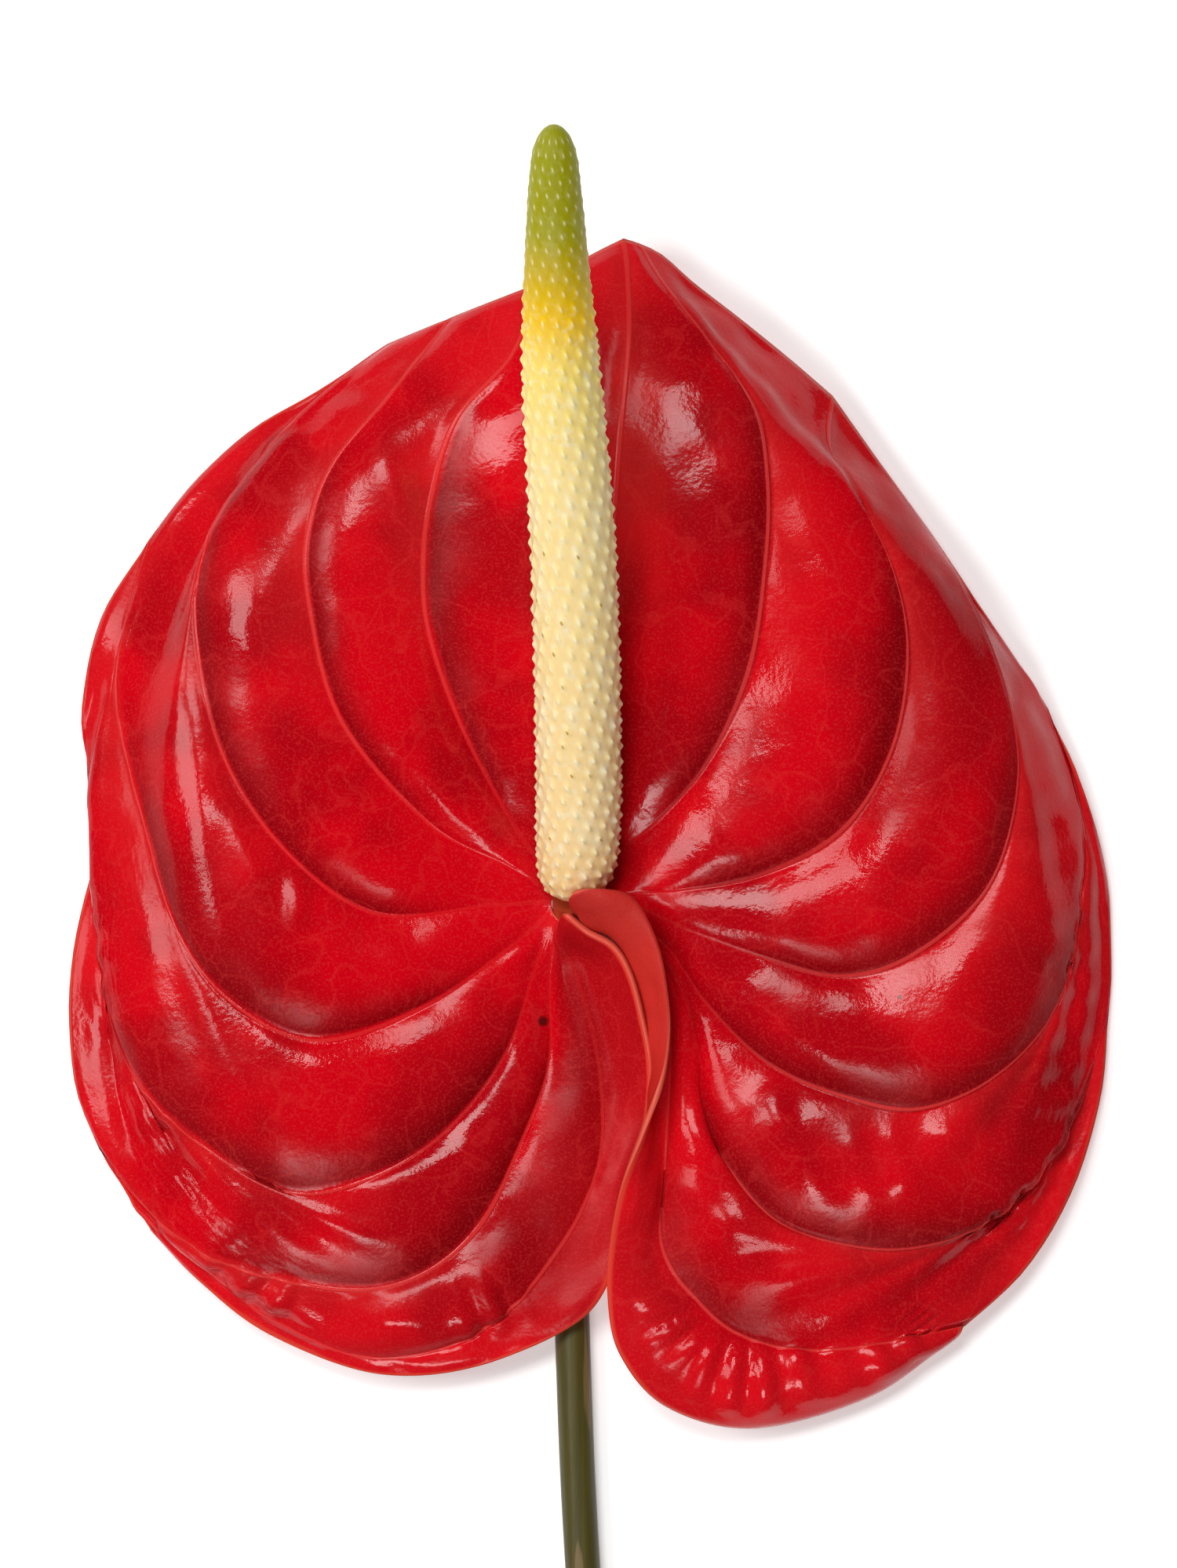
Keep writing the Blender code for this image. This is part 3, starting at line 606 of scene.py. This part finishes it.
def along_margin(grid, shares):
    """Length along the margin to the point nearest each place, and how much the blade is ruffled
    there: fully round the lobes, little at the blade's tip, and not far from the margin."""
    rim, length = rim_line(grid, shares)
    tree = kdtree.KDTree(len(rim))
    for i, place in enumerate(rim):
        tree.insert(place, i)
    tree.balance()
    found = [tree.find(place) for place in grid.reshape(-1, 3)]
    along = length[[nearest[1] for nearest in found]].reshape(grid.shape[:2])
    away = np.array([nearest[2] for nearest in found]).reshape(grid.shape[:2])
    band = ease(away, RUFFLES_START) * (1 - ease(away, RUFFLES_END))
    ends = ease(np.minimum(along, length[-1] - along), RUFFLED_ENDS)
    from_tip = np.abs(along / length[-1] - 0.5)
    lobes = RUFFLES_AT_TIP + (1 - RUFFLES_AT_TIP) * ease(from_tip, RUFFLED_LOBES)
    return along, band * ends * lobes * unbroken(along)


def ruffles(grid, shares):
    """Height of the puckers that stand square to the margin, uneven in spacing and strength."""
    along, strength = along_margin(grid, shares)
    height = np.zeros(along.shape)
    for place in zip(*np.nonzero(strength)):
        here = Vector(grid[place])
        drift = RUFFLE_DRIFT * noise.noise(here / RUFFLE_DRIFT_SIZE)
        wave = math.sin(2 * math.pi * along[place] / RUFFLE_SPACING + drift)
        patch = noise.noise(here / RUFFLE_PATCH_SIZE + Vector(RUFFLE_PATCH_DRAW))
        height[place] = ease(wave, RUFFLE_CREST) * ease(patch, RUFFLE_PATCH)
    return RUFFLE_HEIGHT * height * strength


def crumples(grid, margin, vein):
    """Small crumples of the blade, stronger towards the margin and none on the veins."""
    height = np.zeros(grid.shape[:2])
    for place in np.ndindex(height.shape):
        slow = noise.noise(Vector(grid[place]) / CRUMPLE_SIZE)
        quick = noise.noise(Vector(grid[place] + WRINKLE_DRAW) / WRINKLE_SIZE)
        height[place] = CRUMPLE_HEIGHT * slow + WRINKLE_HEIGHT * quick
    near_rim = np.exp(-(margin / CRUMPLED_MARGIN) ** 2)
    strength = INNER_CRUMPLES + (1 - INNER_CRUMPLES) * near_rim
    return height * strength * ease(margin, CALM_MARGIN) * ease(vein, CALM_VEIN)


def surface_normals(grid):
    along = np.gradient(grid, axis=0)
    across = np.gradient(grid, axis=1)
    normal = np.cross(across, along)
    return normal / np.maximum(np.linalg.norm(normal, axis=2, keepdims=True), SHORTEST_NORMAL)


def set_values(mesh, name, values):
    attribute = mesh.attributes.new(name, "FLOAT", "POINT")
    attribute.data.foreach_set("value", np.asarray(values, np.float32).reshape(-1))


def select_only(obj):
    for other in bpy.context.selected_objects:
        other.select_set(False)
    obj.select_set(True)
    bpy.context.view_layer.objects.active = obj


def new_primitive(name, add, **settings):
    """The object that a primitive operator adds while nothing else is selected."""
    bpy.ops.object.select_all(action="DESELECT")
    add(**settings)
    obj = bpy.context.object
    obj.name = name
    obj.data.name = name
    return obj


def place_corners(obj, places):
    """Moves a mesh's corners to these places of the shape tables."""
    obj.data.vertices.foreach_set("co", to_part_frame(places).reshape(-1))
    obj.data.update()


def mend(obj, merge_gap=0.0):
    """Merges doubled corners where a gap is given, and turns every face outwards."""
    select_only(obj)
    bpy.ops.object.mode_set(mode="EDIT")
    bpy.ops.mesh.select_all(action="SELECT")
    if merge_gap:
        bpy.ops.mesh.remove_doubles(threshold=merge_gap * MM)
    bpy.ops.mesh.normals_make_consistent(inside=False)
    bpy.ops.object.mode_set(mode="OBJECT")


def to_part_frame(places):
    """Places of the shape tables, with or without a height, in the part's frame and in metres."""
    return (places - np.array(ORIGIN)[: np.shape(places)[-1]]) * MM


def thicken(blade):
    """Gives the blade its wall, with the back's and the rim's own materials."""
    wall = blade.modifiers.new("Thickness", "SOLIDIFY")
    wall.thickness = BLADE_THICKNESS * MM
    wall.offset = 0.0
    wall.use_even_offset = False
    wall.material_offset = 1
    wall.material_offset_rim = 2
    select_only(blade)
    bpy.ops.object.modifier_apply(modifier=wall.name)


def make_spathe():
    shares = np.linspace(0, 1, BLADE_ROWS) ** ROW_CROWDING
    grid, vein, flank_shade, bloom_and_sheen = spathe_strips(shares)
    margin = margin_distance(grid)
    relief = crumples(grid, margin, vein) + ruffles(grid, shares)
    shaped = grid + surface_normals(grid) * relief[:, :, None]
    rows, columns = grid.shape[:2]
    add = bpy.ops.mesh.primitive_grid_add
    steps = {"x_subdivisions": columns - 1, "y_subdivisions": rows - 1}
    blade = new_primitive("spathe_blade", add, size=1, **steps)
    place_corners(blade, shaped)
    set_values(blade.data, "vein_mm", vein)
    set_values(blade.data, "margin_mm", margin)
    set_values(blade.data, "flank_shade", flank_shade)
    set_values(blade.data, "bloom_and_sheen", bloom_and_sheen)
    set_values(blade.data, "outward", np.repeat(shares, columns))
    for material in (spathe_face(), spathe_back(), spathe_rim()):
        blade.data.materials.append(material)
    thicken(blade)
    bpy.ops.object.shade_smooth()
    return blade


def ring_place(ring_share):
    """Share of the spadix's length for a ring. Rings stand closer at both ends."""
    return ring_share - END_CROWDING * math.sin(2 * math.pi * ring_share)


def spadix_frame(share):
    """Place on the spadix's axis, with its side and upper directions, for a share of length."""
    along = np.array([0.0, math.cos(SPADIX_RISE), math.sin(SPADIX_RISE)])
    side = np.array([1.0, 0.0, 0.0])
    upper = np.cross(side, along)
    bow = np.interp(share, *zip(*SPADIX_BOW))
    middle = np.array(SPADIX_BASE) + along * SPADIX_LENGTH * share + side * bow
    return middle, side, upper


def spadix_radius(share):
    """The profile's taper, with a round end."""
    taper = np.interp(share, *zip(*SPADIX_PROFILE))
    end = max(0.0, share - TIP_START) / (1 - TIP_START)
    return SPADIX_DIAMETER / 2 * taper * math.sqrt(max(0.0, 1 - end**3))


def floret_cell(ring, step):
    """The floret that a place belongs to, and how far out in its diamond the place is, from 0 at
    the stigma to 1 midway to the next one."""
    p = (ring + step) / 2
    q = (ring - step) / 2
    nearest = (round(p), round(q))
    return nearest, 2 * math.hypot(p - nearest[0], q - nearest[1])


def floret_height(share, radius, out):
    """How far a place stands proud: a narrow point on a low round face, lower near the end."""
    height = FLORET_HEIGHT * min(1.0, radius / SMALL_FLORET_RADIUS)
    height *= 1 - (1 - UNRIPE_HEIGHT) * ease(share, UNRIPE_STARTS)
    point = math.exp(-((out / POINT_SPREAD) ** 2))
    face = max(0.0, 1 - out**2)
    return height * (FLORET_POINT * point + (1 - FLORET_POINT) * face)


def floret_draw(cell, draw):
    """A value from 0 to 1 that is the same all over a floret, and another for each draw."""
    p, q = cell
    return noise.cell(Vector((p + 0.5, q + 0.5, draw)))


def make_spadix():
    """A ball of rings drawn out along the axis, with a pointed floret in each diamond of the
    lattice."""
    rings = FLORET_ROWS + 1
    around = 2 * FLORETS_ROUND * FLORET_STEPS
    add = bpy.ops.mesh.primitive_uv_sphere_add
    spadix = new_primitive(
        "spadix_florets", add, segments=around, ring_count=rings * FLORET_RINGS, radius=1)
    count = len(spadix.data.vertices)
    places = np.zeros((count, 3))
    maps = {name: np.zeros(count) for name in ("share", "seam", "stigma", "pale")}
    for corner in spadix.data.vertices:
        x, y, z = corner.co
        ring = math.acos(max(-1.0, min(1.0, z))) / math.pi * rings
        step = (math.atan2(y, x) / (2 * math.pi) % 1.0) * 2 * FLORETS_ROUND
        turn = math.pi * step / FLORETS_ROUND + FLORET_DRIFT * ring
        share = ring_place(ring / rings)
        middle, side, upper = spadix_frame(share)
        cell, out = floret_cell(ring, step)
        radius = spadix_radius(share)
        radius += floret_height(share, radius, out)
        places[corner.index] = middle + (side * math.cos(turn) + upper * math.sin(turn)) * radius
        maps["share"][corner.index] = share
        maps["seam"][corner.index] = out
        maps["stigma"][corner.index] = floret_draw(cell, STIGMA_DRAW)
        maps["pale"][corner.index] = floret_draw(cell, PALE_DRAW)
    place_corners(spadix, places)
    for name, values in maps.items():
        set_values(spadix.data, name, values)
    spadix.data.materials.append(spadix_skin())
    mend(spadix)
    bpy.ops.object.shade_smooth()
    return spadix


def stem_places():
    """Places along the stem's axis and its thickness there, swollen a little in the neck."""
    radius = STEM_DIAMETER / 2
    resting = [(x, y, radius) for x, y in STEM_PATH]
    places = [(*STEM_END, radius)] + resting + NECK_PATH
    shares = np.linspace(0, 1, STEM_POINTS) ** STEM_CROWDING
    swell = 1 + NECK_SWELL * ease(shares, NECK_STRETCH)
    return spline(places, even_parameters(places, shares)), swell


def make_stem():
    places, swell = stem_places()
    curve = bpy.data.curves.new("stem_skin", "CURVE")
    curve.dimensions = "3D"
    curve.twist_mode = "Z_UP"
    curve.bevel_depth = STEM_DIAMETER / 2 * MM
    curve.bevel_resolution = STEM_SIDES // 4 - 1
    curve.use_fill_caps = True
    line = curve.splines.new("POLY")
    line.points.add(len(places) - 1)
    for point, place, thickness in zip(line.points, to_part_frame(places), swell):
        point.co = (*place, 1.0)
        point.radius = thickness
    stem = bpy.data.objects.new("stem_skin", curve)
    bpy.context.scene.collection.objects.link(stem)
    select_only(stem)
    bpy.ops.object.convert(target="MESH")
    stem = bpy.context.object
    mend(stem, CAP_GAP)
    stem.data.materials.append(stem_skin())
    bpy.ops.object.shade_smooth_by_angle(angle=CUT_CREASE)
    return stem


def linear(colour):
    """A screen colour from 0 to 255 as the linear values that a shader takes."""
    shares = [c / 255 for c in colour]
    return tuple(s / 12.92 if s < 0.04045 else ((s + 0.055) / 1.055) ** 2.4 for s in shares) + (1,)


class Finish:
    """A node material that is built up from its Principled shader."""

    def __init__(self, name, roughness, gloss=0.5, subsurface=0.0):
        self.material = bpy.data.materials.new(name)
        self.material.use_nodes = True
        self.tree = self.material.node_tree
        self.shader = self.tree.nodes["Principled BSDF"]
        self.shader.inputs["Roughness"].default_value = roughness
        self.shader.inputs["Specular IOR Level"].default_value = gloss
        self.shader.inputs["Subsurface Weight"].default_value = subsurface
        self.shader.inputs["Subsurface Radius"].default_value = FLESH_COLOUR_DEPTHS
        self.shader.inputs["Subsurface Scale"].default_value = FLESH_DEPTH * MM

    def node(self, kind, **settings):
        node = self.tree.nodes.new(kind)
        for name, value in settings.items():
            setattr(node, name, value)
        return node

    def link(self, source, socket):
        self.tree.links.new(source, socket)

    def set_or_link(self, socket, value):
        if isinstance(value, bpy.types.NodeSocket):
            self.link(value, socket)
        else:
            socket.default_value = value

    def attribute(self, name):
        return self.node("ShaderNodeAttribute", attribute_name=name).outputs["Fac"]

    def place(self, stretch=(1.0, 1.0, 1.0)):
        """The place on the piece in metres, with each axis multiplied."""
        coordinates = self.node("ShaderNodeTexCoord")
        mapping = self.node("ShaderNodeMapping")
        mapping.inputs["Scale"].default_value = stretch
        self.link(coordinates.outputs["Object"], mapping.inputs["Vector"])
        return mapping.outputs["Vector"]

    def place_parts(self):
        """The place's X, Y and Z as sockets."""
        parts = self.node("ShaderNodeSeparateXYZ")
        self.link(self.place(), parts.inputs["Vector"])
        return parts.outputs

    def noise(self, scale, detail=2.0, stretch=(1.0, 1.0, 1.0)):
        texture = self.node("ShaderNodeTexNoise")
        texture.inputs["Scale"].default_value = scale
        texture.inputs["Detail"].default_value = detail
        self.link(self.place(stretch), texture.inputs["Vector"])
        return texture.outputs["Fac"]

    def network(self, scale, sway):
        """Distance from the lines of an uneven net, whose places sway this far, in metres."""
        drift = self.node("ShaderNodeTexNoise")
        drift.inputs["Scale"].default_value = scale
        self.link(self.place(), drift.inputs["Vector"])
        swayed = self.node("ShaderNodeVectorMath", operation="MULTIPLY_ADD")
        self.link(drift.outputs["Color"], swayed.inputs[0])
        swayed.inputs[1].default_value = (sway, sway, sway)
        self.link(self.place(), swayed.inputs[2])
        net = self.node("ShaderNodeTexVoronoi", feature="DISTANCE_TO_EDGE")
        net.inputs["Scale"].default_value = scale
        self.link(swayed.outputs["Vector"], net.inputs["Vector"])
        return net.outputs["Distance"]

    def maths(self, operation, first, second=0.0):
        node = self.node("ShaderNodeMath", operation=operation)
        self.set_or_link(node.inputs[0], first)
        self.set_or_link(node.inputs[1], second)
        return node.outputs["Value"]

    def times(self, first, second):
        return self.maths("MULTIPLY", first, second)

    def plus(self, first, second):
        return self.maths("ADD", first, second)

    def ramp(self, value, stretch, levels=(0.0, 1.0)):
        """The first level before the stretch, the second after it, and smooth in between."""
        node = self.node("ShaderNodeMapRange", interpolation_type="SMOOTHSTEP")
        self.set_or_link(node.inputs["Value"], value)
        node.inputs["From Min"].default_value = stretch[0]
        node.inputs["From Max"].default_value = stretch[1]
        node.inputs["To Min"].default_value = levels[0]
        node.inputs["To Max"].default_value = levels[1]
        return node.outputs["Result"]

    def distance_to(self, place):
        """Distance from an upright line through the place, in metres."""
        parts = self.place_parts()
        sides = []
        for axis, middle in zip("XY", place):
            side = self.maths("SUBTRACT", parts[axis], float(middle))
            sides.append(self.times(side, side))
        return self.maths("SQRT", self.plus(*sides))

    def blend(self, share, first, second, kind="MIX"):
        """Two colours mixed. A colour is given as screen values, or is another node's output."""
        node = self.node("ShaderNodeMix", data_type="RGBA", blend_type=kind)
        self.set_or_link(node.inputs["Factor"], share)
        for socket, colour in ((node.inputs["A"], first), (node.inputs["B"], second)):
            value = colour if isinstance(colour, bpy.types.NodeSocket) else linear(colour)
            self.set_or_link(socket, value)
        return node.outputs["Result"]

    def layered(self, colour, *layers):
        """The colour with others laid over it in turn, each with the share that it covers."""
        for share, tint in layers:
            colour = self.blend(share, colour, tint)
        return colour

    def colours_along(self, value, stops):
        node = self.node("ShaderNodeValToRGB")
        self.link(value, node.inputs["Fac"])
        elements = node.color_ramp.elements
        while len(elements) < len(stops):
            elements.new(0.5)
        for element, (place, colour) in zip(elements, stops):
            element.position = place
            element.color = linear(colour)
        return node.outputs["Color"]

    def bumps(self, *layers):
        """Each layer is a height socket and its real depth in millimetres."""
        normal = None
        for height, depth in layers:
            node = self.node("ShaderNodeBump")
            node.inputs["Strength"].default_value = 1.0
            node.inputs["Distance"].default_value = depth * MM
            self.link(height, node.inputs["Height"])
            if normal is not None:
                self.link(normal, node.inputs["Normal"])
            normal = node.outputs["Normal"]
        self.link(normal, self.shader.inputs["Normal"])

    def finished(self, colour):
        self.link(colour, self.shader.inputs["Base Color"])
        return self.material


def wax_colour(skin, bloom_and_sheen, flank_shade, vein_lines):
    """Red in lighter and deeper clouds, with what lies over it from the bloom to the margin: painted
    sheen on the bloom, painted shade on the flanks and in the funnel, and a painted glow at the
    margin.
    """
    margin = skin.attribute("margin_mm")
    clouds = skin.ramp(skin.noise(RED_CLOUDS, 3), (0.38, 0.6))
    net = skin.ramp(skin.network(VEIN_NET, VEIN_NET_SWAY), (0.03, 0.0), (0.0, 0.14))
    grain = skin.ramp(skin.noise(RED_GRAIN, 1), (0.45, 0.75), (0.0, 0.2))
    colour = skin.layered(
        skin.blend(clouds, SPATHE_DEEP, SPATHE_RED),
        # Painted sheen on the dull slope outside each vein
        (skin.times(bloom_and_sheen, SHEEN_PAINT_SHARE), PAINTED_SHEEN),
        # Painted shade on the furrows' flanks and in the funnel
        (flank_shade, FURROW_PAINTED_SHADE),
        (skin.ramp(margin, BAND_STRETCH, (0.0, 0.5)), SPATHE_BAND),
        (vein_lines, SPATHE_VEIN),
        (net, SPATHE_VEIN),
        (grain, SPATHE_GRAIN),
        # Painted glow along the thin margin
        (skin.ramp(margin, EDGE_STRETCH), EDGE_PAINTED_GLOW),
    )
    for place, size in MARKS:
        away = skin.distance_to(to_part_frame(np.array(place)))
        soft_edge = (size * MM, MARK_MIDDLE * size * MM)
        colour = skin.blend(skin.ramp(away, soft_edge, (0.0, 0.85)), colour, MARK_BROWN)
    return colour


def wax_gloss(skin, bloom_and_sheen, flank_shade):
    """Sets the roughness and the mirror reflection: duller on the bloom and in the furrows."""
    worn = skin.ramp(skin.noise(WORN_CLOUDS, 3), (0.35, 0.7), (0.09, 0.2))
    worn = skin.plus(worn, skin.times(bloom_and_sheen, BLOOM_ROUGHENS))
    worn = skin.plus(worn, skin.times(flank_shade, FLANK_ROUGHENS))
    skin.link(worn, skin.shader.inputs["Roughness"])
    dull = skin.plus(skin.times(bloom_and_sheen, BLOOM_DULLS), skin.times(flank_shade, FLANK_DULLS))
    patches = skin.ramp(skin.noise(GLOSS_CLOUDS, 2), (0.36, 0.58), (0.45, 1.0))
    shine = skin.times(skin.times(skin.maths("SUBTRACT", 1.0, dull), WAX_GLOSS), patches)
    skin.link(shine, skin.shader.inputs["Specular IOR Level"])


def spathe_face():
    skin = Finish("spathe_waxy_face", roughness=0.2, gloss=WAX_GLOSS)
    bloom_and_sheen = skin.attribute("bloom_and_sheen")
    # Share of painted shade on a furrow's flank and in the funnel
    flank_shade = skin.ramp(skin.attribute("flank_shade"), (0.2, 0.9), (0.0, 0.8))
    outer = skin.ramp(skin.attribute("outward"), (0.1, 0.45), (0.15, 0.7))
    vein_lines = skin.times(skin.ramp(skin.attribute("vein_mm"), VEIN_STRETCH), outer)
    colour = wax_colour(skin, bloom_and_sheen, flank_shade, vein_lines)
    wax_gloss(skin, bloom_and_sheen, flank_shade)
    skin.bumps((vein_lines, 0.1), (skin.noise(240, 2), 0.08), (skin.noise(1700, 2), 0.03))
    return skin.finished(colour)


def spathe_back():
    skin = Finish("spathe_matt_back", roughness=0.5, gloss=0.25)
    vein = skin.attribute("vein_mm")
    colour = skin.blend(skin.noise(60, 3), BACK_DEEP, BACK_RED)
    colour = skin.blend(skin.ramp(vein, (0.8, 0.1), (0.0, 0.5)), colour, BACK_VEIN)
    ridges = skin.ramp(vein, (0.9, 0.0))
    skin.bumps((ridges, 0.4), (skin.noise(500, 3), 0.1), (skin.noise(2400), 0.05))
    return skin.finished(colour)


def spathe_rim():
    skin = Finish("spathe_rim_painted_glow", roughness=0.35, gloss=0.3)
    # The rim's pale red is a painted glow of light through and off the thin edge
    colour = skin.blend(skin.noise(120, 2), EDGE_PAINTED_GLOW, RIM_PAINTED_GLOW)
    skin.bumps((skin.noise(1500), 0.04))
    return skin.finished(colour)


def spadix_skin():
    """Cream to green along the spadix. The open florets are mottled, each has painted shade in its
    seam and a painted highlight on its point, and some of the lower ones have a brown stigma."""
    skin = Finish("spadix_florets", roughness=0.5, gloss=0.25, subsurface=0.5)
    share = skin.attribute("share")
    seam = skin.attribute("seam")
    open_florets = skin.ramp(share, (0.8, 0.7), (0.15, 1.0))
    mottle = skin.ramp(skin.attribute("pale"), (0.2, 1.0), (0.0, 0.3))
    flecks = skin.ramp(skin.noise(900, 1), (0.52, 0.7), (0.0, 0.45))
    colour = skin.layered(
        skin.colours_along(share, SPADIX_COLOURS),
        (skin.times(mottle, open_florets), FLORET_PALE),
        (skin.times(flecks, open_florets), FLORET_PALE),
    )
    # Painted shade in the seams between florets
    colour = skin.blend(skin.ramp(seam, (0.5, 1.1), (0.0, 0.1)), colour, FLORET_SEAM_SHADE, "MULTIPLY")
    # Painted highlight on each floret's point
    colour = skin.blend(skin.ramp(seam, (0.42, 0.1), (0.0, 0.45)), colour, FLORET_PALE)
    ripe = skin.ramp(skin.attribute("stigma"), (0.55, 0.85))
    ripe = skin.times(ripe, skin.ramp(share, (0.62, 0.45)))
    colour = skin.blend(skin.times(ripe, skin.ramp(seam, (0.3, 0.12))), colour, STIGMA)
    skin.bumps((skin.noise(1500, 2), 0.06))
    return skin.finished(colour)


def stem_skin():
    """Olive with fine streaks and scars along the stem, reddish in the neck and pale at the cut."""
    skin = Finish("stem_olive_skin", roughness=0.42, gloss=0.3)
    parts = skin.place_parts()
    streaks = skin.noise(900, 3, STREAK_STRETCH)
    end = (STEM_END[1] - ORIGIN[1]) * MM
    cut = (end + CUT_EDGE * MM, end + CUT_EDGE_MIDDLE * CUT_EDGE * MM)
    colour = skin.layered(
        skin.blend(streaks, STEM_DARK, STEM_OLIVE),
        (skin.ramp(skin.noise(420, 3, SCAR_STRETCH), (0.56, 0.62), (0.0, 0.7)), STEM_SCAR),
        (skin.ramp(parts["Z"], NECK_FLUSH), NECK_RED),
        (skin.ramp(parts["Y"], cut), CUT_PALE),
    )
    skin.bumps((streaks, 0.1), (skin.noise(1400, 2, PORE_STRETCH), 0.05))
    return skin.finished(colour)


def softbox(name, place, width, height, power):
    light = bpy.data.lights.new(name, "AREA")
    light.shape = "RECTANGLE"
    light.size = width
    light.size_y = height
    light.energy = power
    lamp = bpy.data.objects.new(name, light)
    bpy.context.scene.collection.objects.link(lamp)
    lamp.location = place
    lamp.rotation_euler = (Vector(LIT_PLACE) - Vector(place)).to_track_quat("-Z", "Y").to_euler()


def make_floor():
    add = bpy.ops.mesh.primitive_plane_add
    floor = new_primitive("floor", add, size=FLOOR_SIZE, location=(0.0, 0.0, FLOOR_LEVEL))
    finish = Finish("pale_floor", roughness=0.9)
    floor.data.materials.append(finish.material)
    finish.shader.inputs["Base Color"].default_value = FLOOR_GREY
    finish.shader.inputs["Emission Color"].default_value = WHITE
    finish.shader.inputs["Emission Strength"].default_value = FLOOR_GLOW


def make_studio():
    make_floor()
    for lamp in SOFTBOXES:
        softbox(*lamp)
    world = bpy.data.worlds.new("white_room")
    world.use_nodes = True
    world.node_tree.nodes["Background"].inputs["Color"].default_value = WHITE
    world.node_tree.nodes["Background"].inputs["Strength"].default_value = ROOM_LIGHT
    bpy.context.scene.world = world
    bpy.context.scene.view_settings.view_transform = "Standard"


def make_camera():
    """Straight above the flower, with the photograph's height filled by the same stretch."""
    data = bpy.data.cameras.new("camera")
    data.sensor_width = SENSOR
    data.lens = SENSOR * (CAMERA_HEIGHT - FRAMED_LEVEL) / FRAMED_LENGTH
    camera = bpy.data.objects.new("camera", data)
    bpy.context.scene.collection.objects.link(camera)
    x, y = (FRAME_CENTRE[i] - ORIGIN[i] for i in range(2))
    camera.location = Vector((x, y, CAMERA_HEIGHT)) * MM
    bpy.context.scene.camera = camera


def main():
    make_camera()
    make_studio()
    for piece, node, slot in (
        (make_stem(), "stem", "stem"),
        (make_spathe(), "spathe", "spathe"),
        (make_spadix(), "spadix", "spadix"),
    ):
        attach(piece, "root")
        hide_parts(node)


main()
